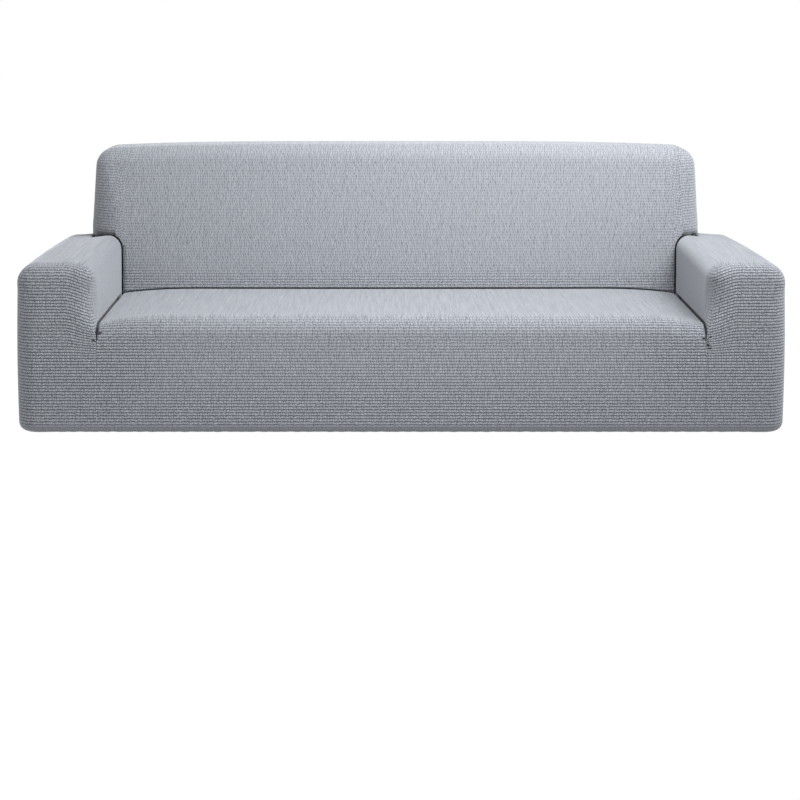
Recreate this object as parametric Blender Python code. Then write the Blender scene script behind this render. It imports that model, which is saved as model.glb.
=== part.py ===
"""Stretch slipcover for a three-seat sofa: four panels of thick knitted cloth.

The seat panel rolls over the seat's front edge and down to the hem. Two arm covers
wrap the arms, and the back cover wraps the backrest and the outside back. Panels
meet in tucked creases or in flush seams, and every lower edge is turned under into
a gathered hem. The sofa itself is left out, so the cover is hollow and open below.

Sizes are metres. X runs along the sofa, -Y is its front and +Z is up. The design is
written with y = 0 at the front face and z = 0 at the hem, and each finished panel is
moved so that the origin lies under the middle of the backrest's top.
"""
import math

import bmesh
import bpy
import numpy as np
from mathutils import Matrix, Vector

CLOTH = 0.003  # thickness of the knit
SEAM = 0.0003  # gap between panels that meet flush
CREASE = 0.0022  # gap between panels that meet in a tucked crease
FOLD_LIMIT = 1.5  # at a sharp fold the inner skin lies at most this many thicknesses deep
TUCK = 0.015  # cloth turned into a crease
TAIL = 0.02  # cloth that runs on straight behind a crease

DEPTH = 0.84
HALF_WIDTH = 1.067  # at the hem
SIDE_TAPER = 0.010  # each side leans in by this much at the arm's top
SIDE_BULGE = 0.004
FLARE = 0.014  # the cover widens on each side by this share of the distance from the front
FLARE_FROM = 0.60

ARM_INNER = 0.840  # inner face of each arm, from the middle of the sofa
ARM_TOP = 0.472
ARM_RISE = 0.004  # slope and curvature of the arm's top along the depth
ARM_FALL = 0.027
ARM_CANT = 0.014
ARM_OUTER_R = 0.062  # roundings of the arm's edges
ARM_INNER_R = 0.045
ARM_FRONT_R = 0.045
CORNER_R = 0.062  # upright corners of the whole cover

SEAT_TOP = 0.325
SEAT_SLOPE = 0.0175
SEAT_DROOP = 0.026  # the seat sinks by this much beside the arms
SEAT_DROOP_FROM = 0.60
SEAT_LIFT = 0.45  # share of that which is lost towards the backrest
SEAT_R = 0.050
NOTCH_Z = 0.250  # where the crease beside the arm runs out in the front face
NOTCH_FADE = 0.110

BACK_FRONT = 0.600  # front of the backrest at seat height
BACK_RAKE = 0.100
BACK_CROWN = 0.012
BACK_TOP = 0.752
BACK_TOP_CROWN = 0.016
BACK_HALF = 0.931
BACK_TAPER = 0.102
BACK_TAPER_FROM = 0.50
BACK_OFFSET = -0.010  # the cover sits a little off the middle there
BACK_CORNER_R = 0.050
BACK_EDGE_R = 0.045
BACK_END_R = 0.100  # the upright front edges are rounder than the top one
REAR_NOTCH_Z = 0.405

HEM_R = 0.022  # the cloth rolls under with this radius
CASING = 0.025  # flat width of the turned-under hem
HEM_TURNS = 3
HEM_CUTS = 3  # extra points in each wall cell along the hem
RUFFLE = 0.007  # height of the gathers at the hem's inner edge
RUFFLE_WAVES = ((0.083, 0.0, 0.55), (0.131, 1.3, 0.30), (0.057, 4.0, 0.15))  # length, phase, share

ARC_LEVELS = (0.0, 0.586, 1.0)  # grid lines beside a rounded edge, in radii: 22.5 degree steps
END_LEVELS = (0.0, 0.25, 0.5, 0.75, 1.0)  # the same for the backrest's wide round ends
CROWDED = 0.012  # grid lines nearer than this to one before them are left out
SEAT_SIDE_LINES = (0.05, 0.11, 0.18)  # grid lines of the seat, from each arm
ARM_REAR_LINE = 0.71
ARM_SIDE_LEVELS = (0.29, 0.33, 0.375)
BACK_FOOT_LEVEL = 0.35
BACK_LINES_END = 0.80
REAR_FADE = (0.10, 0.03)  # a crease runs out between these distances from the rear face
SHELF_DROP = 0.005  # the back cover's sides end this much lower than a tail below the arms
MOUNT = Vector((0.0, 0.5 * (BACK_FRONT + 0.04 + DEPTH), BACK_TOP - CLOTH))
SETTLE_STEPS = 40
PROBE = 1e-4

CLOTH_COLOUR = (0.36, 0.40, 0.46, 1.0)


def round_and(a, b, radius):
    """Distance to where two half-spaces meet, with their edge rounded."""
    outside = np.hypot(np.maximum(a + radius, 0), np.maximum(b + radius, 0))
    return np.minimum(np.maximum(a, b), -radius) + outside


def ramp(value, start, end):
    """Smooth step from 0 at start to 1 at end."""
    t = np.clip((value - start) / (end - start), 0, 1)
    return t * t * (3 - 2 * t)


def half_width(z):
    share = np.clip(z / ARM_TOP, 0, 1)
    return HALF_WIDTH - SIDE_TAPER * share + SIDE_BULGE * np.sin(math.pi * share)


def arm_top(u, y):
    """Height of an arm's top, which stands up a little against the backrest."""
    cant = ARM_CANT * ramp(y, 0.10, BACK_FRONT) * (1 - ramp(u, ARM_INNER, HALF_WIDTH - 0.07))
    return ARM_TOP + ARM_RISE * y - ARM_FALL * y * y + cant


def back_front(x, z):
    across = np.clip((x - BACK_OFFSET) / BACK_HALF, -1, 1)
    return BACK_FRONT + BACK_RAKE * (z - SEAT_TOP) - BACK_CROWN * (1 - across**2)


def seat_drop(x, y):
    """How far the seat sinks."""
    out = np.clip((np.abs(x) - SEAT_DROOP_FROM) / (ARM_INNER - SEAT_DROOP_FROM), 0, 1)
    return SEAT_DROOP * out**2.5 * (1 - SEAT_LIFT * np.clip(y / BACK_FRONT, 0, 1))


def seat_body(p):
    """Seat and front face, which meet in one rounded edge."""
    x, y, z = p.T
    top = z - (SEAT_TOP - SEAT_SLOPE * y - seat_drop(x, y))
    return round_and(top, -y, SEAT_R)


def arm_body(p, side):
    """One arm: a box with soft edges, flush with the front face below the notch."""
    u, y, z = side * p[:, 0], p[:, 1], p[:, 2]
    middle = (ARM_INNER + HALF_WIDTH) / 2
    across = np.maximum(u - half_width(z), ARM_INNER - u)
    walls = round_and(across, z - arm_top(u, y), np.where(u > middle, ARM_OUTER_R, ARM_INNER_R))
    inner_r = CORNER_R * ramp(z, NOTCH_Z, NOTCH_Z + NOTCH_FADE)
    front_r = inner_r + (CORNER_R - inner_r) * ramp(u, ARM_INNER + 0.07, HALF_WIDTH - 0.08)
    front_r = front_r + (ARM_FRONT_R - front_r) * ramp(z, ARM_TOP - 0.09, ARM_TOP - 0.03)
    end_r = np.where(y < DEPTH / 2, front_r, CORNER_R)
    return round_and(walls, np.maximum(-y, y - DEPTH), end_r)


def back_body(p):
    """The backrest, flush with the rear faces of the arms below the rear notch."""
    x, y, z = p.T
    reach = BACK_HALF - BACK_TAPER * np.maximum(z - BACK_TAPER_FROM, 0)
    side = np.abs(x - BACK_OFFSET) - reach
    top = z - (BACK_TOP - BACK_TOP_CROWN * np.abs((x - BACK_OFFSET) / BACK_HALF) ** 4)
    outline = round_and(side, top, BACK_CORNER_R)
    rear_r = 0.002 + BACK_EDGE_R * ramp(z, REAR_NOTCH_Z, REAR_NOTCH_Z + NOTCH_FADE)
    front_r = BACK_END_R + (BACK_EDGE_R - BACK_END_R) * ramp(z, BACK_TOP - 0.27, BACK_TOP - 0.02)
    end_r = np.where(y < (BACK_FRONT + DEPTH) / 2, front_r, rear_r)
    return round_and(outline, np.maximum(back_front(x, z) - y, y - DEPTH), end_r)


def footprint(p):
    """The cover's outline near the hem, which every panel's hem follows."""
    return round_and(np.abs(p[:, 0]) - half_width(p[:, 2]), np.maximum(-p[:, 1], p[:, 1] - DEPTH), CORNER_R)


def slope(field, points):
    """Gradient of a distance field at the given points."""
    columns = []
    for axis in range(3):
        step = np.zeros(3)
        step[axis] = PROBE
        columns.append((field(points + step) - field(points - step)) / (2 * PROBE))
    return np.stack(columns, axis=1)


def pull(field, points):
    """One step that brings points on to the surface where the field is zero."""
    g = slope(field, points)
    length = np.maximum((g * g).sum(axis=1), 1e-6)
    return points - (field(points) / length)[:, None] * g


def coordinates(verts):
    return np.array([v.co[:] for v in verts])


def place(verts, points):
    for v, p in zip(verts, points):
        v.co = Vector(p)


def settle(verts, body, pins=()):
    """Lay points on a body. A pin is a list of points and a second surface that holds them."""
    for _ in range(SETTLE_STEPS):
        place(verts, pull(body, coordinates(verts)))
        for held, surface in pins:
            place(held, pull(surface, coordinates(held)))


def levels(*values, merge=CROWDED):
    """Grid lines in order, leaving out those that crowd one given before them."""
    chosen = []
    for value in values:
        if all(abs(value - other) > merge for other in chosen):
            chosen.append(value)
    return sorted(chosen)


def beside(edge, radius, shares=ARC_LEVELS):
    """Grid lines next to a rounded edge. A negative radius lies below the edge."""
    return [edge + radius * share for share in shares]


def spread(start, end, count):
    return [start + (end - start) * (k + 1) / (count + 1) for k in range(count)]


FACES = {  # fixed axis, which end of it, and the two axes across, counter-clockwise from outside
    "front": (1, 0, 0, 2),
    "rear": (1, -1, 2, 0),
    "low": (0, 0, 2, 1),
    "high": (0, -1, 1, 2),
    "top": (2, -1, 0, 1),
}


def box_sheet(lines, keep):
    """Sheet over the faces of a box with the given grid lines, where keep(face, centre) holds."""
    bm = bmesh.new()
    corners = {}

    def corner(index):
        if index not in corners:
            corners[index] = bm.verts.new([lines[axis][index[axis]] for axis in range(3)])
        return corners[index]

    for face, (fixed, end, first, second) in FACES.items():
        at = end % len(lines[fixed])
        for i in range(len(lines[first]) - 1):
            for j in range(len(lines[second]) - 1):
                cell = []
                for di, dj in ((0, 0), (1, 0), (1, 1), (0, 1)):
                    index = [at, at, at]
                    index[first] = i + di
                    index[second] = j + dj
                    cell.append(tuple(index))
                centre = np.mean([[lines[a][k[a]] for a in range(3)] for k in cell], axis=0)
                if keep(face, centre):
                    bm.faces.new([corner(k) for k in cell])
    return bm


def pick(bm, rule):
    """Border points of a sheet that a rule of x, y, z holds for."""
    return [v for v in bm.verts if v.is_boundary and rule(*v.co)]


def edges_between(bm, points):
    chosen = set(points)
    return [e for e in bm.edges if e.is_boundary and e.verts[0] in chosen and e.verts[1] in chosen]


def extrude_border(bm, edges):
    """Add a row of cloth along border edges and return its pairs of old and new points."""
    made = bmesh.ops.extrude_edge_only(bm, edges=edges)
    fresh = [g for g in made["geom"] if isinstance(g, bmesh.types.BMVert)]
    old = {v for e in edges for v in e.verts}
    pairs = []
    for v in fresh:
        partner = next(e.other_vert(v) for e in v.link_edges if e.other_vert(v) in old)
        pairs.append((partner, v))
    return pairs, [g for g in made["geom"] if isinstance(g, bmesh.types.BMEdge) and g.is_boundary]


def tuck(bm, points, body, depth, behind=None):
    """Turn the border inwards by depth(x, y, z), along the surface behind it if there is one."""
    pairs, _ = extrude_border(bm, edges_between(bm, points))
    base = coordinates([old for old, _ in pairs])
    inward = -slope(body, base)
    if behind:
        away = slope(behind, base)
        away /= np.linalg.norm(away, axis=1)[:, None]
        inward -= (inward * away).sum(axis=1)[:, None] * away
    inward /= np.linalg.norm(inward, axis=1)[:, None]
    deep = np.array([depth(*p) for p in base])
    place([new for _, new in pairs], base + inward * deep[:, None])
    bmesh.ops.remove_doubles(bm, verts=[v for pair in pairs for v in pair], dist=1e-5)


def ruffle(x, y):
    """Height share of the gathers, which run on from panel to panel and rest at the corners."""
    along = x + math.copysign(y, x)
    wave = sum(share * math.sin(2 * math.pi * along / length + phase)
               for length, phase, share in RUFFLE_WAVES)
    from_corner = max(HALF_WIDTH - abs(x), min(y, DEPTH - y))
    return float(ramp(from_corner, CORNER_R, 2 * CORNER_R)) * (0.5 + 0.5 * wave)


def turn_hem(bm):
    """Roll the lowest border under and gather it into the casing."""
    low = pick(bm, lambda x, y, z: z < HEM_R + 1e-4)
    edges = edges_between(bm, low)
    cut = bmesh.ops.subdivide_edges(bm, edges=edges, cuts=HEM_CUTS)
    middle = [g for g in cut["geom_split"] if isinstance(g, bmesh.types.BMVert)]
    level = [(middle, lambda p: p[:, 2] - HEM_R)]
    settle(middle, footprint, level)
    row = edges_between(bm, pick(bm, lambda x, y, z: z < HEM_R + 1e-3))
    start = {}
    for turn in range(1, HEM_TURNS + 3):
        pairs, row = extrude_border(bm, row)
        for old, new in pairs:
            start[new] = start.get(old, old)
        base = coordinates([start[new] for _, new in pairs])
        inward = -slope(footprint, base)
        inward[:, 2] = 0
        inward /= np.linalg.norm(inward, axis=1)[:, None]
        angle = min(turn / HEM_TURNS, 1) * math.pi / 2
        flat = max(turn - HEM_TURNS, 0) / 2
        points = base + inward * (HEM_R * (1 - math.cos(angle)) + CASING * flat)
        lift = RUFFLE * flat * np.array([ruffle(x, y) for x, y, _ in base])
        points[:, 2] = HEM_R * (1 - math.sin(angle)) + lift
        place([new for _, new in pairs], points)


def thicken(bm):
    """Add the cloth's inner skin and the rim between the two skins."""
    bm.normal_update()
    faces = bm.faces[:]
    border = [(l.vert, l.link_loop_next.vert) for f in faces for l in f.loops if l.edge.is_boundary]
    inner = {}
    for v in bm.verts[:]:
        depth = CLOTH * min(v.calc_shell_factor(), FOLD_LIMIT)
        inner[v] = bm.verts.new(v.co - v.normal * depth)
    for f in faces:
        bm.faces.new([inner[v] for v in reversed(f.verts)])
    for a, b in border:
        bm.faces.new((b, a, inner[a], inner[b]))


def flare(verts):
    """Widen the cover towards its rear."""
    for v in verts:
        v.co.x += math.copysign(FLARE * v.co.y * float(ramp(abs(v.co.x), FLARE_FROM, ARM_INNER)), v.co.x)


def finish(bm, name):
    """Give the sheet its thickness, material and place."""
    flare(bm.verts)
    bmesh.ops.triangulate(bm, faces=bm.faces[:])
    thicken(bm)
    bmesh.ops.triangulate(bm, faces=bm.faces[:])
    bmesh.ops.translate(bm, verts=bm.verts[:], vec=-MOUNT)
    mesh = bpy.data.meshes.new(name)
    bm.to_mesh(mesh)
    bm.free()
    mesh.shade_smooth()
    material = bpy.data.materials.new(name + "_knit")
    material.use_nodes = True
    shader = material.node_tree.nodes["Principled BSDF"]
    shader.inputs["Base Color"].default_value = CLOTH_COLOUR
    shader.inputs["Roughness"].default_value = 0.9
    shader.inputs["Metallic"].default_value = 0.0
    mesh.materials.append(material)
    panel = bpy.data.objects.new(name, mesh)
    bpy.context.collection.objects.link(panel)
    return panel


def seat_panel():
    """Seat, rolled front edge and front face, tucked in beside the arms and the backrest."""
    edge = ARM_INNER - SEAM
    rear = BACK_FRONT
    xs = levels(-edge, edge, *[s * (edge - d) for s in (-1, 1) for d in SEAT_SIDE_LINES],
                *spread(-edge + SEAT_SIDE_LINES[-1], edge - SEAT_SIDE_LINES[-1], 15))
    ys = levels(*beside(0.0, SEAT_R), rear, *spread(SEAT_R, rear, 5))
    zs = levels(HEM_R, *beside(SEAT_TOP, -SEAT_R), NOTCH_Z, *spread(HEM_R, NOTCH_Z, 3))
    bm = box_sheet((xs, ys, zs), lambda face, c: face in ("front", "top"))
    sides = pick(bm, lambda x, y, z: abs(x) > edge - 1e-6)
    rears = pick(bm, lambda x, y, z: y > rear - 1e-6)
    hems = pick(bm, lambda x, y, z: z < HEM_R + 1e-6)
    pins = (
        (sides, lambda p: np.abs(p[:, 0]) - edge),
        (rears, lambda p: back_body(p) - CREASE),
        (hems, lambda p: p[:, 2] - HEM_R),
    )
    settle(bm.verts[:], seat_body, pins)
    border = pick(bm, lambda x, y, z: z > NOTCH_Z - 0.002)
    tuck(bm, border, seat_body, lambda x, y, z: TUCK * float(ramp(z, NOTCH_Z + 0.001, NOTCH_Z + 0.04)))
    turn_hem(bm)
    return finish(bm, "seat_panel")


def arm_cover(name, side):
    """Front, top, both sides and rear of one arm."""
    seam = BACK_HALF + side * BACK_OFFSET
    us = levels(ARM_INNER, seam, HALF_WIDTH, *beside(ARM_INNER, ARM_INNER_R),
                *beside(HALF_WIDTH, -CORNER_R), *beside(seam, -BACK_END_R, END_LEVELS[:-1]),
                (seam + HALF_WIDTH) / 2)
    ys = levels(0.0, BACK_FRONT, DEPTH, *beside(0.0, CORNER_R), *beside(DEPTH, -CORNER_R),
                *beside(BACK_FRONT, BACK_END_R, END_LEVELS), *spread(CORNER_R, BACK_FRONT, 6),
                ARM_REAR_LINE)
    zs = levels(HEM_R, NOTCH_Z, *beside(ARM_TOP, -ARM_OUTER_R), *ARM_SIDE_LEVELS,
                *spread(HEM_R, NOTCH_Z, 3))

    def keep(face, c):
        wanted = {
            "front": True,
            "high": True,
            "low": c[2] > NOTCH_Z and c[1] < BACK_FRONT,
            "top": c[0] > seam or c[1] < BACK_FRONT,
            "rear": c[0] > seam,
        }
        return wanted[face]

    bm = box_sheet((us, ys, zs), keep)
    front_seam = pick(bm, lambda u, y, z: u < ARM_INNER + 1e-6 and y < 1e-6 and z < NOTCH_Z + 1e-6)
    crease = pick(bm, lambda u, y, z: y > BACK_FRONT - 1e-6 and y < DEPTH - BACK_EDGE_R
                  and z > NOTCH_Z - 1e-6 and u < seam + 1e-6)
    rear_seam = pick(bm, lambda u, y, z: y > DEPTH - BACK_EDGE_R and abs(u - seam) < 1e-6)
    lower = pick(bm, lambda u, y, z: u < ARM_INNER + 1e-6 and abs(z - NOTCH_Z) < 1e-6 and y > 1e-6)
    hems = pick(bm, lambda u, y, z: z < HEM_R + 1e-6)
    bmesh.ops.transform(bm, matrix=Matrix.Diagonal((side, 1, 1, 1)), verts=bm.verts[:])
    if side < 0:
        bmesh.ops.reverse_faces(bm, faces=bm.faces[:])
    pins = (
        (front_seam, lambda p: side * p[:, 0] - ARM_INNER),
        (crease, lambda p: back_body(p) - CREASE),
        (rear_seam, lambda p: side * p[:, 0] - seam - SEAM),
        (lower, lambda p: p[:, 2] - NOTCH_Z),
        (hems, lambda p: p[:, 2] - HEM_R),
    )
    body = lambda p: arm_body(p, side)
    settle(bm.verts[:], body, pins)
    fade = lambda x, y, z: TUCK * (1 - float(ramp(y, *(DEPTH - away for away in REAR_FADE))))
    tuck(bm, crease, body, fade, behind=back_body)
    turn_hem(bm)
    return finish(bm, name)


def back_cover():
    """Inside back, top, sides and outside back, with short tails behind the creases."""
    reach = BACK_HALF
    shift = BACK_OFFSET
    foot = SEAT_TOP - SEAT_SLOPE * BACK_FRONT - TAIL
    arm_low = arm_top(HALF_WIDTH, BACK_FRONT) - TAIL - SHELF_DROP
    tail = ARM_INNER + TAIL
    xs = levels(shift - reach, shift + reach, -tail, tail,
                *beside(shift - reach, BACK_END_R, END_LEVELS),
                *beside(shift + reach, -BACK_END_R, END_LEVELS),
                *spread(-BACK_LINES_END, BACK_LINES_END, 15), merge=0.02)
    ys = levels(BACK_FRONT, DEPTH, *beside(BACK_FRONT, BACK_END_R, END_LEVELS),
                *beside(DEPTH, -BACK_EDGE_R))
    zs = levels(HEM_R, foot, arm_low, REAR_NOTCH_Z, BACK_TOP, *beside(BACK_TOP, -BACK_CORNER_R),
                *spread(HEM_R, foot, 3), *spread(arm_low, BACK_TOP - BACK_CORNER_R, 2), BACK_FOOT_LEVEL)

    def keep(face, c):
        wanted = {
            "front": c[2] > arm_low or (c[2] > foot and abs(c[0]) < tail),
            "low": c[2] > arm_low or (c[2] > REAR_NOTCH_Z and c[1] > DEPTH - BACK_EDGE_R),
            "high": c[2] > arm_low or (c[2] > REAR_NOTCH_Z and c[1] > DEPTH - BACK_EDGE_R),
            "top": True,
            "rear": True,
        }
        return wanted[face]

    bm = box_sheet((xs, ys, zs), keep)
    rear_seam = pick(bm, lambda x, y, z: y > DEPTH - 1e-6 and z < REAR_NOTCH_Z + 1e-6
                     and abs(x - shift) > reach - 1e-6)
    tails = pick(bm, lambda x, y, z: y < BACK_FRONT + 1e-6 and z < arm_low - 1e-6
                 and abs(abs(x) - tail) < 1e-6)
    feet = pick(bm, lambda x, y, z: y < BACK_FRONT + 1e-6 and abs(z - foot) < 1e-6)
    shelf = pick(bm, lambda x, y, z: abs(z - arm_low) < 1e-6 and y < DEPTH - BACK_EDGE_R)
    hems = pick(bm, lambda x, y, z: z < HEM_R + 1e-6)
    pins = (
        (rear_seam, lambda p: np.abs(p[:, 0] - shift) - reach),
        (tails, lambda p: np.abs(p[:, 0]) - tail),
        (feet, lambda p: p[:, 2] - foot),
        (shelf, lambda p: p[:, 2] - arm_low),
        (hems, lambda p: p[:, 2] - HEM_R),
    )
    settle(bm.verts[:], back_body, pins)
    turn_hem(bm)
    return finish(bm, "back_cover")


for old in list(bpy.data.objects):
    bpy.data.objects.remove(old)

seat_panel()
arm_cover("arm_cover_left", -1)
arm_cover("arm_cover_right", 1)
back_cover()
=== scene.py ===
"""Stretch slipcover for a three-seat sofa, in the order in which it is sewn and pulled on.

Sizes are metres. Forms are written with y = 0 at the front face and z = 0 at the hem,
and each finished panel is moved to the frame, whose origin is under the backrest's top.
"""

import math

import bmesh
import bpy
import numpy as np
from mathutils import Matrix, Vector


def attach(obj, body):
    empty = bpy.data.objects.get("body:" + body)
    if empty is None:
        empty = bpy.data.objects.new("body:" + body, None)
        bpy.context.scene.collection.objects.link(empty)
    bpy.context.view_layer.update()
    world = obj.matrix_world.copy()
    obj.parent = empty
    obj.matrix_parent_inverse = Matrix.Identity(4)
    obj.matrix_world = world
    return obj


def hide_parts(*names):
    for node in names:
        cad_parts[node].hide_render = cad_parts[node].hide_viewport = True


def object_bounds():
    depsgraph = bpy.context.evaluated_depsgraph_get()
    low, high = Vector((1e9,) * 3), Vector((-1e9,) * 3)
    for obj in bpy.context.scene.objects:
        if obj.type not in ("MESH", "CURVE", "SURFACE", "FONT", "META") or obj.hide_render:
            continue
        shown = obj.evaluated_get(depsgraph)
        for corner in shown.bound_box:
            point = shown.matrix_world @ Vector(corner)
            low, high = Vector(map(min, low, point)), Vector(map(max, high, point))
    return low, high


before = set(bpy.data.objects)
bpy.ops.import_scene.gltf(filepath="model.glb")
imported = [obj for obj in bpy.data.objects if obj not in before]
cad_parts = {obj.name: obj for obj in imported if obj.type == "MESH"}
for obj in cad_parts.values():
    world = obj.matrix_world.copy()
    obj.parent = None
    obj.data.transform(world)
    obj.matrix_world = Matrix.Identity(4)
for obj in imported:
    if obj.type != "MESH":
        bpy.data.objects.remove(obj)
cad_low, cad_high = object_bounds()


# ---- Studio: a white light table that runs on into a white surround, and one soft light ----
# The cover stands 11 cm above the table, as the sofa's legs would hold it, and the table
# glows as white as the surround, so no shadow shows. The key is a wide soft box above the
# front and to the right, so the tops of seat and arms are the lightest faces.
scene = bpy.context.scene
scene.view_settings.view_transform = "Standard"

LEGS = 0.11
TABLE_HALF = 30.0
CAMERA_AT = (-0.064, -5.69, 0.404)
CAMERA_TILT = 8.59  # degrees below the horizon
CAMERA_SHIFT = (0.0275, -0.14)  # the cover stands in the upper half of a square picture
FOCAL_MM = 82.35
SENSOR_MM = 36.0
KEY_AT = (1.0, -1.5, 1.3)
KEY_AIM = (0.0, 0.1, -0.1)
KEY_SIZE = (2.4, 1.0)
KEY_WATTS = 64
KEY_SPREAD = 110  # degrees

camera = bpy.data.objects.new("camera", bpy.data.cameras.new("camera"))
camera.data.lens = FOCAL_MM
camera.data.sensor_width = SENSOR_MM
camera.data.shift_x, camera.data.shift_y = CAMERA_SHIFT
camera.location = CAMERA_AT
camera.rotation_euler = (math.radians(90 - CAMERA_TILT), 0, 0)
scene.collection.objects.link(camera)
scene.camera = camera


def linear(code):
    """Linear colour of an sRGB hex code."""
    parts = [int(code[k:k + 2], 16) / 255 for k in (1, 3, 5)]
    return [c / 12.92 if c <= 0.04045 else ((c + 0.055) / 1.055) ** 2.4 for c in parts] + [1.0]


key = bpy.data.lights.new("key_box", "AREA")
key.shape = "RECTANGLE"
key.size, key.size_y = KEY_SIZE
key.energy = KEY_WATTS
key.spread = math.radians(KEY_SPREAD)
key_box = bpy.data.objects.new("key_box", key)
key_box.location = KEY_AT
key_box.rotation_euler = (Vector(KEY_AIM) - Vector(KEY_AT)).to_track_quat("-Z", "Y").to_euler()
scene.collection.objects.link(key_box)

surround = bpy.data.worlds.new("white_surround")
surround.use_nodes = True
surround.node_tree.nodes["Background"].inputs["Color"].default_value = linear("#ffffff")
surround.node_tree.nodes["Background"].inputs["Strength"].default_value = 1.0
scene.world = surround

floor_mesh = bpy.data.meshes.new("floor")
floor_mesh.from_pydata([(TABLE_HALF * a, TABLE_HALF * b, cad_low.z - LEGS)
                        for a, b in ((-1, -1), (1, -1), (1, 1), (-1, 1))], [], [(0, 1, 2, 3)])
floor = bpy.data.objects.new("floor", floor_mesh)
scene.collection.objects.link(floor)
table = bpy.data.materials.new("glowing_white_acrylic")
table.use_nodes = True
table_shader = table.node_tree.nodes["Principled BSDF"]
table_shader.inputs["Base Color"].default_value = linear("#1c1c1c")
table_shader.inputs["Specular IOR Level"].default_value = 0.0
table_shader.inputs["Roughness"].default_value = 0.9
table_shader.inputs["Emission Color"].default_value = linear("#ffffff")
table_shader.inputs["Emission Strength"].default_value = 1.0
floor_mesh.materials.append(table)


# ---- Cloth: thick stretch jacquard knit in raised pillow cells ---------------------------
# Polyester and elastane, knitted so that padded cells of about 7 by 8.5 mm stand up between
# narrow grooves, deepest along the rows, which are darkened with painted shade. Their brushed
# tops have a soft pale sheen at a low angle. Where the cloth is stretched they flatten, and on
# the seat they draw out in streaks. Creases, undercuts and puckers get near-black painted shade.
CELL_WIDTH = 0.0072
CELL_ROW = 0.0085  # from row to row
CELL_HEIGHT = 0.0011
MEAN_PILLOW = 0.50  # height of cells that are stretched flat, as a share of full ones
LOW_PILLOW = 0.82  # height of the leanest cells, as a share of the fullest
WAVER = (0.0045, 0.0036, 0)  # how far rows and columns wander
WAVER_SCALE = 105.0
CROWDING = 0.9  # how far the cells of a row drift together or apart, in cells
CROWDING_SCALE = 0.8
ROW_APART = 9.7  # keeps the crowding of one row unlike the next row's
ROW_FADE = 3.5  # rows fade faster than columns where the padding is thin
GROOVE_FLOOR = 0.25  # a groove between columns is less deep than one between rows
COLUMN_EDGE = 0.28  # from the middle of a groove to the cell's full height, as a share of a cell
ROW_EDGE = 0.32
CASING_PADDING = 0.45  # share of the padding that is left where the hem holds the elastic
CASING_FADE = (-0.006, 0.003)  # up the cloth from where the hem rolls under
STREAKS = 0.48  # on the seat, which is pulled backwards, the columns are drawn out into streaks
STREAKS_PER_METRE = 6.0
STREAK_SCALE = 0.9
LEVEL = (0.75, 0.98)  # upward part of the surface's normal, from no streaks to full ones
FUZZ = 0.22  # height of the brushed fibres, as a share of a cell
FUZZ_SCALE = 700.0
PUCKER_SHADOWS = (  # painted shadows of short folds round the ends of the notches: x, height over the hem, half length, slant
    (0.8330, 0.2645, 0.0085, 0.0),
    (0.8440, 0.2460, 0.0085, -0.35),
    (0.8480, 0.2375, 0.0070, 0.0),
    (0.8500, 0.2690, 0.0060, 0.3),
    (-0.8455, 0.2600, 0.0065, -0.55),
    (-0.8300, 0.2785, 0.0095, 0.2),
)
PUCKER_HALF = 0.0030
PUCKER_REACH = 0.05  # they are drawn this deep, through the thickness of the cloth
PUCKER_EDGE = (0.5, 1.1)  # a fold's painted shadow is dark up to the first share of its half sizes, and gone at the second
# painted shade: near black deep in the creases, and a darker colour in the grooves between the cells
CREASE_SHADE_COLOUR = "#101114"
GROOVE_SHADE_COLOUR = "#404249"
PILLOW_COLOUR = "#83868b"
SHEEN_COLOUR = "#e0e4eb"

knit = bpy.data.materials.new("pillow_cell_jacquard_knit")
knit.use_nodes = True
tree = knit.node_tree
shader = tree.nodes["Principled BSDF"]


def add(kind, inputs=(), **settings):
    """Add a node, set its settings, and feed its inputs with values or other nodes' sockets."""
    fresh = tree.nodes.new(kind)
    for key, value in settings.items():
        setattr(fresh, key, value)
    for key, value in dict(inputs).items():
        if isinstance(value, bpy.types.NodeSocket):
            tree.links.new(value, fresh.inputs[key])
        else:
            fresh.inputs[key].default_value = value
    return fresh.outputs


# the cloth's own map, in cells, with rows and columns that wander a little
cloth_map = add("ShaderNodeUVMap", uv_map="cloth")["UV"]
waver = add("ShaderNodeTexNoise", {"Vector": cloth_map, "Scale": WAVER_SCALE, "Detail": 1.0},
            noise_dimensions="2D")["Color"]
shift = add("ShaderNodeVectorMath", {0: waver, 1: (0.5, 0.5, 0.5)}, operation="SUBTRACT")["Vector"]
shift = add("ShaderNodeVectorMath", {0: shift, 1: WAVER}, operation="MULTIPLY")["Vector"]
uneven = add("ShaderNodeVectorMath", {0: cloth_map, 1: shift}, operation="ADD")["Vector"]
in_cells = add("ShaderNodeVectorMath", {0: uneven, 1: (1 / CELL_WIDTH, 1 / CELL_ROW, 0)},
               operation="MULTIPLY")["Vector"]
axes = add("ShaderNodeSeparateXYZ", {"Vector": in_cells})

# each row starts at its own place, and its cells crowd together here and there
row_number = add("ShaderNodeMath", {0: axes["Y"], 1: 0.5}, operation="ADD")["Value"]
row_number = add("ShaderNodeMath", {0: row_number}, operation="FLOOR")["Value"]
offset = add("ShaderNodeTexWhiteNoise", {"W": row_number}, noise_dimensions="1D")["Value"]
column_place = add("ShaderNodeMath", {0: axes["X"], 1: offset}, operation="ADD")["Value"]
own_row = add("ShaderNodeMath", {0: row_number, 1: ROW_APART}, operation="MULTIPLY")["Value"]
along_row = add("ShaderNodeCombineXYZ", {"X": column_place, "Y": own_row})["Vector"]
crowding = add("ShaderNodeTexNoise", {"Vector": along_row, "Scale": CROWDING_SCALE, "Detail": 0.0},
               noise_dimensions="2D")["Fac"]
column_place = add("ShaderNodeMath", {0: crowding, 1: CROWDING, 2: column_place},
                   operation="MULTIPLY_ADD")["Value"]

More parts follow.
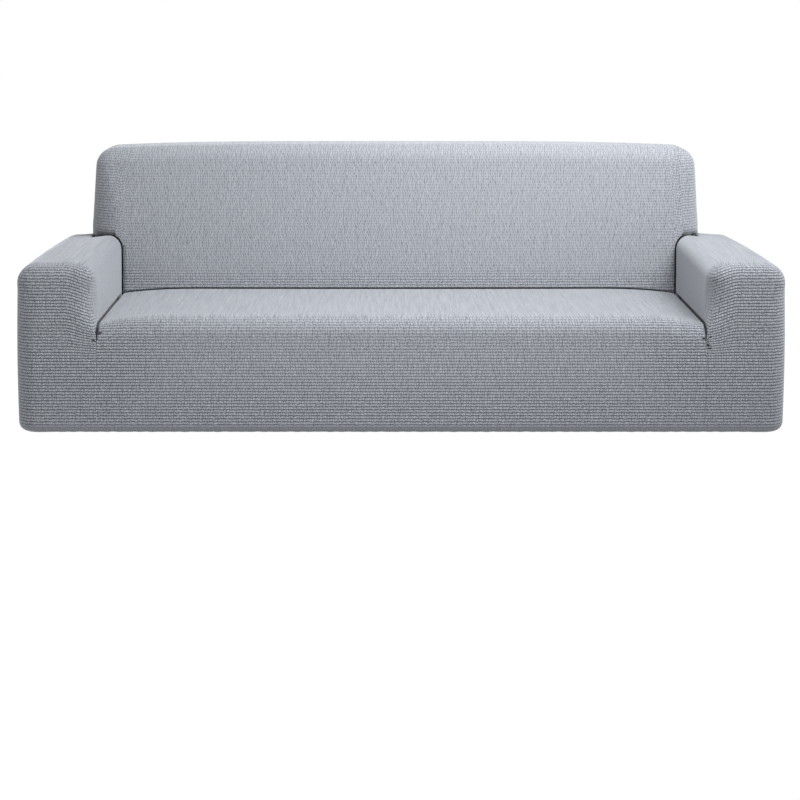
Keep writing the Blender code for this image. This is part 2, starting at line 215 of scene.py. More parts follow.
# one cell: a pillow that rises out of the grooves beside, below and above it
across = add("ShaderNodeMath", {0: column_place, 1: 0.5}, operation="PINGPONG")["Value"]
upward = add("ShaderNodeMath", {0: axes["Y"], 1: 0.5}, operation="PINGPONG")["Value"]
column = add("ShaderNodeMapRange", {"Value": across, "From Max": COLUMN_EDGE, "To Min": GROOVE_FLOOR},
             interpolation_type="SMOOTHSTEP")["Result"]
padding = add("ShaderNodeAttribute", attribute_name="padding")["Fac"]
row_depth = add("ShaderNodeMath", {0: padding, 1: ROW_FADE}, operation="POWER")["Value"]
row_floor = add("ShaderNodeMath", {0: 1.0, 1: row_depth}, operation="SUBTRACT")["Value"]
row = add("ShaderNodeMapRange", {"Value": upward, "From Max": ROW_EDGE, "To Min": row_floor},
          interpolation_type="SMOOTHSTEP")["Result"]
pillow = add("ShaderNodeMath", {0: column, 1: row}, operation="MULTIPLY")["Value"]

# no two cells are equally full
cell = add("ShaderNodeCombineXYZ", {"X": column_place, "Y": row_number})["Vector"]
cell = add("ShaderNodeVectorMath", {0: cell}, operation="FLOOR")["Vector"]
chance = add("ShaderNodeTexWhiteNoise", {"Vector": cell}, noise_dimensions="2D")["Value"]
fullness = add("ShaderNodeMapRange", {"Value": chance, "To Min": LOW_PILLOW})["Result"]
pillow = add("ShaderNodeMath", {0: pillow, 1: fullness}, operation="MULTIPLY")["Value"]

# they flatten towards their mean height where the padding is thin, and under the hem
band = add("ShaderNodeSeparateXYZ", {"Vector": cloth_map})["Y"]
casing = add("ShaderNodeMapRange", {"Value": band, "From Min": CASING_FADE[0], "From Max": CASING_FADE[1],
                                    "To Min": CASING_PADDING})["Result"]
depth = add("ShaderNodeMath", {0: casing, 1: padding}, operation="MULTIPLY")["Value"]
flat = add("ShaderNodeMath", {0: 1.0, 1: depth}, operation="SUBTRACT")["Value"]
flat = add("ShaderNodeMath", {0: flat, 1: MEAN_PILLOW}, operation="MULTIPLY")["Value"]
pillow = add("ShaderNodeMath", {0: pillow, 1: depth, 2: flat}, operation="MULTIPLY_ADD")["Value"]

# level cloth has streaks, one cell wide and a hand long
along_seat = add("ShaderNodeVectorMath", {0: cloth_map, 1: (1 / CELL_WIDTH, STREAKS_PER_METRE, 0)},
                 operation="MULTIPLY")["Vector"]
streaks = add("ShaderNodeTexNoise", {"Vector": along_seat, "Scale": STREAK_SCALE, "Detail": 1.0},
              noise_dimensions="2D")["Fac"]
streaks = add("ShaderNodeMath", {0: streaks, 1: 0.5}, operation="SUBTRACT")["Value"]
upright = add("ShaderNodeSeparateXYZ", {"Vector": add("ShaderNodeNewGeometry")["Normal"]})["Z"]
upright = add("ShaderNodeMapRange", {"Value": upright, "From Min": LEVEL[0], "From Max": LEVEL[1],
                                     "To Max": STREAKS})["Result"]
pillow = add("ShaderNodeMath", {0: streaks, 1: upright, 2: pillow}, operation="MULTIPLY_ADD")["Value"]

# painted shade: no light gets into the tucked creases, the undercuts and the puckers, so they are darkened
# to near black
crease_shade = add("ShaderNodeAttribute", attribute_name="crease_shade")["Fac"]
lit = add("ShaderNodeMath", {0: 1.0, 1: crease_shade}, operation="SUBTRACT")["Value"]
place = add("ShaderNodeTexCoord")["Object"]
for x, z, half, slant in PUCKER_SHADOWS:
    away = add("ShaderNodeVectorMath", {0: place, 1: (x, cad_low.y, z + cad_low.z)},
               operation="SUBTRACT")["Vector"]
    away = add("ShaderNodeVectorRotate", {"Vector": away, "Angle": slant}, rotation_type="Y_AXIS")["Vector"]
    away = add("ShaderNodeVectorMath", {0: away, 1: (1 / half, 1 / PUCKER_REACH, 1 / PUCKER_HALF)},
               operation="MULTIPLY")["Vector"]
    away = add("ShaderNodeVectorMath", {0: away}, operation="LENGTH")["Value"]
    outside = add("ShaderNodeMapRange", {"Value": away, "From Min": PUCKER_EDGE[0],
                                         "From Max": PUCKER_EDGE[1]})["Result"]
    lit = add("ShaderNodeMath", {0: lit, 1: outside}, operation="MULTIPLY")["Value"]

brushed = add("ShaderNodeTexNoise", {"Vector": cloth_map, "Scale": FUZZ_SCALE, "Detail": 2.0},
              noise_dimensions="2D")["Fac"]
height = add("ShaderNodeMath", {0: brushed, 1: FUZZ, 2: pillow}, operation="MULTIPLY_ADD")["Value"]
relief = add("ShaderNodeBump", {"Height": height, "Distance": CELL_HEIGHT, "Strength": 1.0})["Normal"]
# painted shade: the grooves take a darker colour than the tops of the cells
shade = add("ShaderNodeMix", {"Factor": pillow, "A": linear(GROOVE_SHADE_COLOUR), "B": linear(PILLOW_COLOUR)},
            data_type="RGBA")["Result"]
shade = add("ShaderNodeMix", {"Factor": lit, "A": linear(CREASE_SHADE_COLOUR), "B": shade},
            data_type="RGBA")["Result"]
tree.links.new(shade, shader.inputs["Base Color"])
tree.links.new(relief, shader.inputs["Normal"])
shader.inputs["Roughness"].default_value = 0.92
shader.inputs["Specular IOR Level"].default_value = 0.25
shader.inputs["Sheen Weight"].default_value = 0.35
shader.inputs["Sheen Roughness"].default_value = 0.45
shader.inputs["Sheen Tint"].default_value = linear(SHEEN_COLOUR)


# ---- Seat panel: seat, rolled front edge and front face, in one length of cloth ----------
# It is drawn tight from the crease under the backrest, over the front edge and down to the
# hem. Beside the arms it dips and turns into a tucked crease, which ends in a short notch.
CLOTH = 0.003
SEAM = 0.0001
CREASE = 0.0025
GROOVE = 0.0030  # the seat's edge stands this far off the arms, more than the seam does
GROOVE_FADE = 0.02  # the groove opens over this height above the notch's end
UNDERCUT = 0.013  # arms and backrest draw back by this much where the cloth goes into a crease
UNDERCUT_WIDTH = 0.004
TUCK_ROWS = (0.004, 0.009, 0.015)
LIP = 0.0060  # radius of the cloth where it turns into a crease
LIP_FADE = 0.03

DEPTH = round(cad_high.y - cad_low.y, 4)
HALF_WIDTH = 1.067
SIDE_TAPER = 0.010
SIDE_BULGE = 0.004
FLARE = 0.014  # each side stands out by this share of the distance from the front
FLARE_FROM = 0.60
CORNER_R = 0.062

ARM_INNER = 0.840
ARM_TOP = 0.472
SEAT_TOP = 0.325
SEAT_SLOPE = 0.0175
SEAT_DROOP = 0.026  # how far the seat's edges sink beside the arms
SEAT_DROOP_FROM = 0.60
SEAT_DROOP_POWER = 2.5
SEAT_LIFT = 0.45  # share of the droop that is lost towards the backrest
SEAT_R = 0.050
NOTCH_Z = 0.250
NOTCH_FADE = 0.110

BACK_FRONT = 0.600
BACK_RAKE = 0.100
BACK_CROWN = 0.012
BACK_TOP = round(cad_high.z - cad_low.z, 4)
BACK_TOP_CROWN = 0.016
BACK_HALF = 0.931
BACK_TAPER = 0.102
BACK_TAPER_FROM = 0.50
BACK_OFFSET = -0.010
BACK_CORNER_R = 0.050
BACK_EDGE_R = 0.045
BACK_END_R = 0.100  # below its upper corners the inside back turns this softly into the ends
BACK_END_FADE = (0.27, 0.02)  # it sharpens between these depths below the top
REAR_NOTCH_Z = 0.405
REAR_SEAM_R = 0.002

HEM_R = 0.022
HEM_DROP = 0.003  # the hem hangs this far below the elastic's place on the solid
HEM_TURNS = 6
CASING = 0.025
CASING_ROWS = 3
GATHERS = ((0.031, 0.4, 0.45), (0.044, 2.1, 0.30), (0.083, 0.0, 0.25))  # length, phase, share
GATHER_HEIGHT = 0.006

MOUNT = Vector((0.0, -round(cad_low.y, 4), -round(cad_low.z, 4)))  # the frame's origin
FULL = 1.03  # padding of unstretched cloth, with the grooves at their darkest

SEAM_STEP = 0.0035  # spacing of the grid lines beside a seam or crease
ROUND_STEP = 0.006  # over a rounding
FACE_STEP = 0.010  # over a face
LONG_STEP = 0.012
PROBE = 1e-4
SETTLE_STEPS = 24
NEAR = 1e-6
NEAR_HEM = 1e-3
MERGE = 1e-5


def round_and(a, b, radius):
    """Distance to where two half-spaces meet, with their edge rounded."""
    outside = np.hypot(np.maximum(a + radius, 0), np.maximum(b + radius, 0))
    return np.minimum(np.maximum(a, b), -radius) + outside


def ramp(value, start, end):
    """Smooth step from 0 at start to 1 at end."""
    t = np.clip((value - start) / (end - start), 0, 1)
    return t * t * (3 - 2 * t)


def half_width(z):
    """Half the cover's width at a height. The sides lean in, and bulge a little."""
    share = np.clip(z / ARM_TOP, 0, 1)
    return HALF_WIDTH - SIDE_TAPER * share + SIDE_BULGE * np.sin(math.pi * share)


def back_front(x, z):
    """Depth of the inside back, which leans back and is crowned along the sofa."""
    across_share = np.clip((x - BACK_OFFSET) / BACK_HALF, -1, 1)
    return BACK_FRONT + BACK_RAKE * (z - SEAT_TOP) - BACK_CROWN * (1 - across_share**2)


def seat_drop(x, y):
    """How far the seat sinks beside the arms."""
    out = np.clip((np.abs(x) - SEAT_DROOP_FROM) / (ARM_INNER - SEAT_DROOP_FROM), 0, 1)
    return SEAT_DROOP * out**SEAT_DROOP_POWER * (1 - SEAT_LIFT * np.clip(y / BACK_FRONT, 0, 1))


def seat_edge(z):
    """Half the seat's width, which pulls away from the arms above the notch."""
    return ARM_INNER - SEAM - GROOVE * ramp(z, NOTCH_Z, NOTCH_Z + GROOVE_FADE)


def seat_profile(p):
    """The seat's top and front face, as if they ran on sideways for ever."""
    x, y, z = p.T
    return round_and(z - (SEAT_TOP - SEAT_SLOPE * y - seat_drop(x, y)), -y, SEAT_R)


def seat_body(p):
    """The seat between the arms, with soft lips along its creases."""
    x, y, z = p.T
    lip = LIP * ramp(z, NOTCH_Z, NOTCH_Z + LIP_FADE)
    edged = round_and(seat_profile(p), np.abs(x) - seat_edge(z), lip)
    return round_and(edged, CREASE - back_body(p), LIP)


def back_body(p):
    """The backrest, flush with the rear faces of the arms below the rear notch."""
    x, y, z = p.T
    reach = BACK_HALF - BACK_TAPER * np.maximum(z - BACK_TAPER_FROM, 0)
    side = np.abs(x - BACK_OFFSET) - reach
    top = z - (BACK_TOP - BACK_TOP_CROWN * np.abs((x - BACK_OFFSET) / BACK_HALF) ** 4)
    outline = round_and(side, top, BACK_CORNER_R)
    rear_r = REAR_SEAM_R + BACK_EDGE_R * ramp(z, REAR_NOTCH_Z, REAR_NOTCH_Z + NOTCH_FADE)
    sharper = ramp(z, BACK_TOP - BACK_END_FADE[0], BACK_TOP - BACK_END_FADE[1])
    front_r = BACK_END_R + (BACK_EDGE_R - BACK_END_R) * sharper
    end_r = np.where(y < (BACK_FRONT + DEPTH) / 2, front_r, rear_r)
    return round_and(outline, np.maximum(back_front(x, z) - y, y - DEPTH), end_r)


def footprint(p):
    """The cover's outline near the hem, which every panel's hem follows."""
    sides = np.abs(p[:, 0]) - half_width(p[:, 2])
    return round_and(sides, np.maximum(-p[:, 1], p[:, 1] - DEPTH), CORNER_R)


def slope(field, points):
    """Gradient of a distance field at the given points."""
    steps = PROBE * np.eye(3)
    sides = [(field(points + s) - field(points - s)) / (2 * PROBE) for s in steps]
    return np.stack(sides, axis=1)


def pull(field, points):
    """One step that brings points on to the surface where the field is zero."""
    g = slope(field, points)
    length = np.maximum((g * g).sum(axis=1), NEAR)
    return points - (field(points) / length)[:, None] * g


def ruler(*marks):
    """Grid lines through the marks. Every second value is the spacing up to the next mark."""
    lines = []
    for start, step, end in zip(marks[0:-2:2], marks[1::2], marks[2::2]):
        count = max(1, round((end - start) / step))
        lines += [start + (end - start) * k / count for k in range(count)]
    return np.array(lines + [marks[-1]])


FACES = {  # fixed axis, which end of it, and the two axes across, counter-clockwise from outside
    "front": (1, 0, 0, 2),
    "rear": (1, -1, 2, 0),
    "low": (0, 0, 2, 1),
    "inner_corner": (0, 0, 2, 1),
    "high": (0, -1, 1, 2),
    "top": (2, -1, 0, 1),
}


def lattice(lines, keep):
    """Points of a box's faces, each face's grid of point numbers, and which cells are kept."""
    sheets, cells = {}, {}
    for face, (fixed, end, first, second) in FACES.items():
        if face not in keep:
            continue
        axes_of = [lines[first], lines[second]]
        grid = np.zeros((len(axes_of[0]), len(axes_of[1]), 3))
        grid[..., fixed] = lines[fixed][end]
        grid[..., first] = axes_of[0][:, None]
        grid[..., second] = axes_of[1][None, :]
        sheets[face] = grid
        middle = (grid[:-1, :-1] + grid[1:, 1:]) / 2
        cells[face] = np.broadcast_to(keep[face](*np.moveaxis(middle, -1, 0)), middle.shape[:2])
    flat = np.concatenate([g.reshape(-1, 3) for g in sheets.values()])
    _, first_seen, number = np.unique(np.round(flat, 7), axis=0, return_index=True, return_inverse=True)
    numbers, at = {}, 0
    for face, grid in sheets.items():
        size = grid.shape[0] * grid.shape[1]
        numbers[face] = number.ravel()[at:at + size].reshape(grid.shape[:2])
        at += size
    return flat[first_seen], numbers, cells


def settle(points, body, pins=()):
    """Lay points on a body. A pin is a choice of points and a second surface that holds them."""
    for _ in range(SETTLE_STEPS):
        points = pull(body, points)
        for chosen, surface in pins:
            points[chosen] = pull(surface, points[chosen])
    return points


def centred(grid, axis):
    """Distance along the cloth from the middle of the sofa."""
    far = walk(grid, axis, np.zeros(grid.shape[1 - axis]))
    middle = [grid.shape[axis] // 2]
    return far - np.take(far, middle, axis) + np.take(grid[..., 0], middle, axis)


def walk(grid, axis, start, backwards=False):
    """Distance along the cloth from one edge of a grid of points."""
    if backwards:
        return np.flip(walk(np.flip(grid, axis), axis, start), axis)
    step = np.linalg.norm(np.diff(grid, axis=axis), axis=-1)
    zero = np.zeros_like(np.take(step, [0], axis=axis))
    return np.expand_dims(start, axis) + np.concatenate([zero, np.cumsum(step, axis=axis)], axis=axis)


def cut(points, numbers, cells, maps, hidden, side=1):
    """Sheet of the kept cells, with its cloth map, and its points by number.

    hidden gives how far into a crease each point lies, from 0 to 1, and so how dark its painted shade is.
    """
    bm = bmesh.new()
    layer = bm.loops.layers.uv.new("cloth")
    crease_shade = bm.verts.layers.float.new("crease_shade")
    verts = {}
    for face, grid in numbers.items():
        u, v = maps[face]
        for i, j in zip(*np.nonzero(cells[face])):
            corners = ((i, j), (i + 1, j), (i + 1, j + 1), (i, j + 1))[::side]
            for c in corners:
                if grid[c] not in verts:
                    verts[grid[c]] = bm.verts.new(points[grid[c]])
                    verts[grid[c]][crease_shade] = hidden[grid[c]]
            made = bm.faces.new([verts[grid[c]] for c in corners])
            for loop, c in zip(made.loops, corners):
                loop[layer].uv = (side * u[c], v[c])
    return bm, verts


def add_row(bm, edges, reach):
    """Sew a row of cloth on to border edges. reach gives each border point's new place."""
    layer = bm.loops.layers.uv["cloth"]
    made = bmesh.ops.extrude_edge_only(bm, edges=edges)
    fresh = [g for g in made["geom"] if isinstance(g, bmesh.types.BMVert)]
    old = {v for e in edges for v in e.verts}
    partner = {v: next(e.other_vert(v) for e in v.link_edges if e.other_vert(v) in old) for v in fresh}
    base = np.array([partner[v].co[:] for v in fresh])
    for v, place in zip(fresh, reach(base, [partner[v] for v in fresh])):
        v.co = place
    # the map of each new face carries on from the face behind it, at the cloth's real length
    for face in (g for g in made["geom"] if isinstance(g, bmesh.types.BMFace)):
        seam = next(e for e in face.edges if e.verts[0] in old and e.verts[1] in old)
        behind = next(f for f in seam.link_faces if f is not face)
        known = {l.vert: l[layer].uv.copy() for l in behind.loops}
        a, b = (known[v] for v in seam.verts)
        along = (b - a).normalized()
        middle = sum(known.values(), a * 0) / len(known)
        away = (a + b) / 2 - middle
        away = (away - along * away.dot(along)).normalized()
        for loop in face.loops:
            root = partner.get(loop.vert, loop.vert)
            loop[layer].uv = known[root] + away * (loop.vert.co - root.co).length
    rim = [g for g in made["geom"] if isinstance(g, bmesh.types.BMEdge) and g.is_boundary]
    return rim, {v: partner[v] for v in fresh}


def border(bm, rule):
    """Border edges of a sheet whose two ends a rule of x, y, z holds for."""
    return [e for e in bm.edges if e.is_boundary and all(rule(*v.co) for v in e.verts)]


def border_of(bm, verts, chosen):
    """Border edges between the chosen points."""
    ends = {verts[k] for k in np.nonzero(chosen)[0] if k in verts}
    return [e for e in bm.edges if e.is_boundary and ends.issuperset(e.verts)]


def tuck(bm, edges, body, share, behind=None):
    """Turn a border into its crease, row by row, along the surface behind it if there is one.

    share gives how much of the full depth the tuck has at a point.
    """
    first = {}

    def inwards(base, sources):
        if not first:
            direction = -slope(body, base)
            if behind:
                away = slope(behind, base)
                away /= np.linalg.norm(away, axis=1)[:, None]
                direction -= (direction * away).sum(axis=1)[:, None] * away
            direction /= np.linalg.norm(direction, axis=1)[:, None]
            deep = np.array([share(*p) for p in base])
            first.update({s: (p, d, k) for s, p, d, k in zip(sources, base, direction, deep)})
        return [first[s][0] + first[s][1] * first[s][2] * depth for s in sources]

    for depth in TUCK_ROWS:
        edges, partner = add_row(bm, edges, inwards)
        first.update({v: first[p] for v, p in partner.items()})
        # the tucked rows are painted in full shade
        for v in partner:
            v[bm.verts.layers.float["crease_shade"]] = 1.0


def gather(x, y):
    """Height share of the gathers, which run on from panel to panel and rest at the corners."""
    along = x + math.copysign(y, x)
    wave = sum(share * math.sin(2 * math.pi * along / length + phase)
               for length, phase, share in GATHERS)
    from_corner = max(HALF_WIDTH - abs(x), min(y, DEPTH - y))
    return float(ramp(from_corner, CORNER_R, 2 * CORNER_R)) * (0.5 + 0.5 * wave)


def turn_hem(bm):
    """Roll the lowest border under and gather it into the casing of the elastic."""
    edges = border(bm, lambda x, y, z: z < HEM_R + NEAR_HEM)
    bmesh.ops.subdivide_edges(bm, edges=edges, cuts=1)
    edges = border(bm, lambda x, y, z: z < HEM_R + NEAR_HEM)
    start = {}
    for turn in range(1, HEM_TURNS + CASING_ROWS + 1):
        angle = min(turn / HEM_TURNS, 1) * math.pi / 2
        flat = max(turn - HEM_TURNS, 0) / CASING_ROWS
        pucker = max(turn - 1, 0) / (HEM_TURNS + CASING_ROWS - 1)

        def under(base, sources):
            if not start:
                direction = -slope(footprint, base)
                direction[:, 2] = 0
                direction /= np.linalg.norm(direction, axis=1)[:, None]
                start.update({s: (p, d) for s, p, d in zip(sources, base, direction)})
            places = []
            for s in sources:
                root, inward = start[s]
                place = root + inward * (HEM_R * (1 - math.cos(angle)) + CASING * flat)
                lift = GATHER_HEIGHT * pucker**2 * gather(root[0], root[1])
                place[2] = HEM_R - (HEM_R + HEM_DROP) * math.sin(angle) + lift
                places.append(place)
            return places

        edges, partner = add_row(bm, edges, under)
        start.update({v: start[p] for v, p in partner.items()})


def finish(bm, name, padding):
    """Give a panel its place, thickness and cloth. padding gives its cells' depth at a point."""
    bmesh.ops.remove_doubles(bm, verts=bm.verts[:], dist=MERGE)
    for v in bm.verts:
        wider = FLARE * v.co.y * float(ramp(abs(v.co.x), FLARE_FROM, ARM_INNER))
        v.co.x += math.copysign(wider, v.co.x)
    depths = [float(padding(*v.co)) for v in bm.verts]
    bmesh.ops.translate(bm, verts=bm.verts[:], vec=-MOUNT)
    mesh = bpy.data.meshes.new(name + "_knit")
    bm.to_mesh(mesh)
    bm.free()
    mesh.attributes.new("padding", "FLOAT", "POINT").data.foreach_set("value", depths)
    mesh.shade_smooth()
    mesh.materials.append(knit)
    panel = bpy.data.objects.new(name + "_knit", mesh)
    scene.collection.objects.link(panel)
    wall = panel.modifiers.new("thickness", "SOLIDIFY")
    wall.thickness = CLOTH
    wall.offset = -1
    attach(panel, "root")
    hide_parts(name)


SEAT_BAND = 0.010  # width of the finer grid along its sides and its rear
SEAT_EDGE_STEP = 0.0025
DROOP_FADE = 0.05
TUCK_ROOM = 0.002
TUCK_FROM, TUCK_FULL = 0.001, 0.04  # the tuck deepens between these heights above the notch's end
SEAT_THIN = 0.5  # padding that the seat loses, over this way in from the front face
SEAT_THIN_FADE = (0.010, 0.080)
FRONT_THIN = 0.11  # padding that the middle of the front loses, away from the arms and the hem
FRONT_THIN_FROM = 0.50
FRONT_THIN_FADE = (0.02, 0.22)


def seat_padding(x, y, z):
    """Thin on the seat, and a little flatter in the middle of the front than at its edges."""
    middle = min(1 - ramp(abs(x), FRONT_THIN_FROM, ARM_INNER), ramp(z, *FRONT_THIN_FADE))
    return FULL - SEAT_THIN * ramp(y, *SEAT_THIN_FADE) - FRONT_THIN * middle


# a grid over a plain box, then laid on the seat with its sides, rear and hem held in place
edge = ARM_INNER - SEAM
seat_lines = (
    ruler(-edge, SEAT_EDGE_STEP, -edge + SEAT_BAND, FACE_STEP, edge - SEAT_BAND, SEAT_EDGE_STEP, edge),
    ruler(0.0, ROUND_STEP, SEAT_R, FACE_STEP, BACK_FRONT - SEAT_BAND, SEAM_STEP, BACK_FRONT),
    ruler(HEM_R, FACE_STEP, SEAT_TOP - SEAT_R, ROUND_STEP, SEAT_TOP),
)
points, numbers, cells = lattice(seat_lines, {"front": lambda x, y, z: True, "top": lambda x, y, z: True})
x, y, z = points.T.copy()
sides = np.abs(x) > edge - NEAR
rear = y > BACK_FRONT - NEAR
hem = z < HEM_R + NEAR
points[:, 1] *= back_front(x, SEAT_TOP) / BACK_FRONT
points[:, 2] -= seat_drop(x, y) * ramp(z, NOTCH_Z - DROOP_FADE, SEAT_TOP)
points = settle(points, seat_body, (
    (sides, lambda p: np.abs(p[:, 0]) - seat_edge(p[:, 2])),
    (rear, lambda p: back_body(p) - CREASE),
    (hem, lambda p: p[:, 2] - HEM_R),
))

# its map runs from the middle of the sofa, and up the cloth from where the hem rolls under
sheets = {face: points[numbers[face]] for face in numbers}
height_up = walk(sheets["front"], 1, np.zeros(len(seat_lines[0])))
maps = {
    "front": (centred(sheets["front"], 0), height_up),
    "top": (centred(sheets["top"], 0), walk(sheets["top"], 1, height_up[:, -1])),
}
seat, _ = cut(points, numbers, cells, maps, np.zeros(len(points)))
tuck(seat, border(seat, lambda x, y, z: z > NOTCH_Z - TUCK_ROOM), seat_body,
     lambda x, y, z: float(ramp(z, NOTCH_Z + TUCK_FROM, NOTCH_Z + TUCK_FULL)))
turn_hem(seat)
finish(seat, "seat_panel", seat_padding)


# ---- Arm covers: front, top, both sides and rear of an arm, in one piece of the knit ------
# Each is pulled over its arm like a sock. Its inner side goes down behind the seat's crease,
# and its rear end wraps the backrest's side. Below the notch it meets the seat panel flush.
ARM_RISE = 0.004  # slope and curvature of the arm's top along the depth
ARM_FALL = 0.027
ARM_CANT = 0.014  # the inner edge stands up this far against the backrest
ARM_CANT_FROM = 0.10
ARM_CANT_EDGE = 0.07
ARM_OUTER_R = 0.062
ARM_INNER_R = 0.045
ARM_FRONT_R = 0.045  # of the front edge near the top; lower down it is as round as a corner
FRONT_R_FADE = (0.09, 0.03)
INNER_R_FADE = (0.07, 0.08)  # from the arm's inner and outer side
LIP_START = (0.10, 0.05)  # in front of the backrest
LIP_END = (0.10, 0.03)  # in front of the rear
DRAG = 0.022  # the rows are dragged down this far where the cloth is pulled in beside the seat
DRAG_WIDTH = 0.085
DRAG_FADE = 0.05
CORNER_MAP_END = 0.12  # up to here the inner side's rows run on from the front
INNER_BAND = 0.048  # width of the rounding above the inner side, in its grid
SEAM_BAND = 0.010
NOTCH_BAND = (0.29, 0.31)  # heights between which the seat's crease runs, drawn with fine rows
NOTCH_STEP = 0.0025
CREASE_STEP = 0.0015
CORNER_STEP = 0.005
LEAN_START, LEAN_END = 0.3, 0.75  # the arm's grid leans with the backrest between these depths
LEAN_EDGE = 0.08
UNDER_START = (0.004, 0.03)  # the undercut beside the seat starts behind the front face,
UNDER_END = (0.025, 0.010)  # ends in front of the backrest
UNDER_REACH = 0.02  # and stays within this distance of the inner side
ARM_THIN = 0.75  # padding that the top and the inner side lose, over this way in from the front
ARM_THIN_FADE = (0.003, 0.070)
OUTER_FILL = 0.55  # what of it the outer side and the rear get back
OUTER_FADE = (0.040, 0.015)
ARM_REAR_FADE = 0.06


def arm_top(u, y):
    """Height of an arm's top, which stands up a little against the backrest."""
    cant = ARM_CANT * ramp(y, ARM_CANT_FROM, BACK_FRONT)
    cant = cant * (1 - ramp(u, ARM_INNER, HALF_WIDTH - ARM_CANT_EDGE))
    return ARM_TOP + ARM_RISE * y - ARM_FALL * y * y + cant


def arm_section(p, side):
    """Sides and top of one arm."""
    u, y, z = side * p[:, 0], p[:, 1], p[:, 2]
    middle = (ARM_INNER + HALF_WIDTH) / 2
    out = np.maximum(u - half_width(z), ARM_INNER - u)
    return round_and(out, z - arm_top(u, y), np.where(u > middle, ARM_OUTER_R, ARM_INNER_R))


def arm_body(p, side):
    """One arm: a box with soft edges, flush with the front face below the notch."""
    u, y, z = side * p[:, 0], p[:, 1], p[:, 2]
    inner_r = CORNER_R * ramp(z, NOTCH_Z, NOTCH_Z + NOTCH_FADE)
    outer = ramp(u, ARM_INNER + INNER_R_FADE[0], HALF_WIDTH - INNER_R_FADE[1])
    front_r = inner_r + (CORNER_R - inner_r) * outer
    upper = ramp(z, ARM_TOP - FRONT_R_FADE[0], ARM_TOP - FRONT_R_FADE[1])
    front_r = front_r + (ARM_FRONT_R - front_r) * upper
    end_r = np.where(y < DEPTH / 2, front_r, CORNER_R)
    whole = round_and(arm_section(p, side), np.maximum(-y, y - DEPTH), end_r)
    lip = LIP * (1 - ramp(y, DEPTH - LIP_END[0], DEPTH - LIP_END[1]))
    lip = lip * ramp(y, BACK_FRONT - LIP_START[0], BACK_FRONT - LIP_START[1])
    return round_and(whole, CREASE - back_body(p), lip)


def arm_padding(x, y, z):
    """Thin on top and on the inner side, fuller on the outer side and at the rear."""
    outer = ramp(abs(x), HALF_WIDTH - OUTER_FADE[0], HALF_WIDTH - OUTER_FADE[1])
    outer = max(outer, ramp(y, DEPTH - ARM_REAR_FADE, DEPTH))
    return FULL - ramp(y, *ARM_THIN_FADE) * (ARM_THIN - OUTER_FILL * outer)


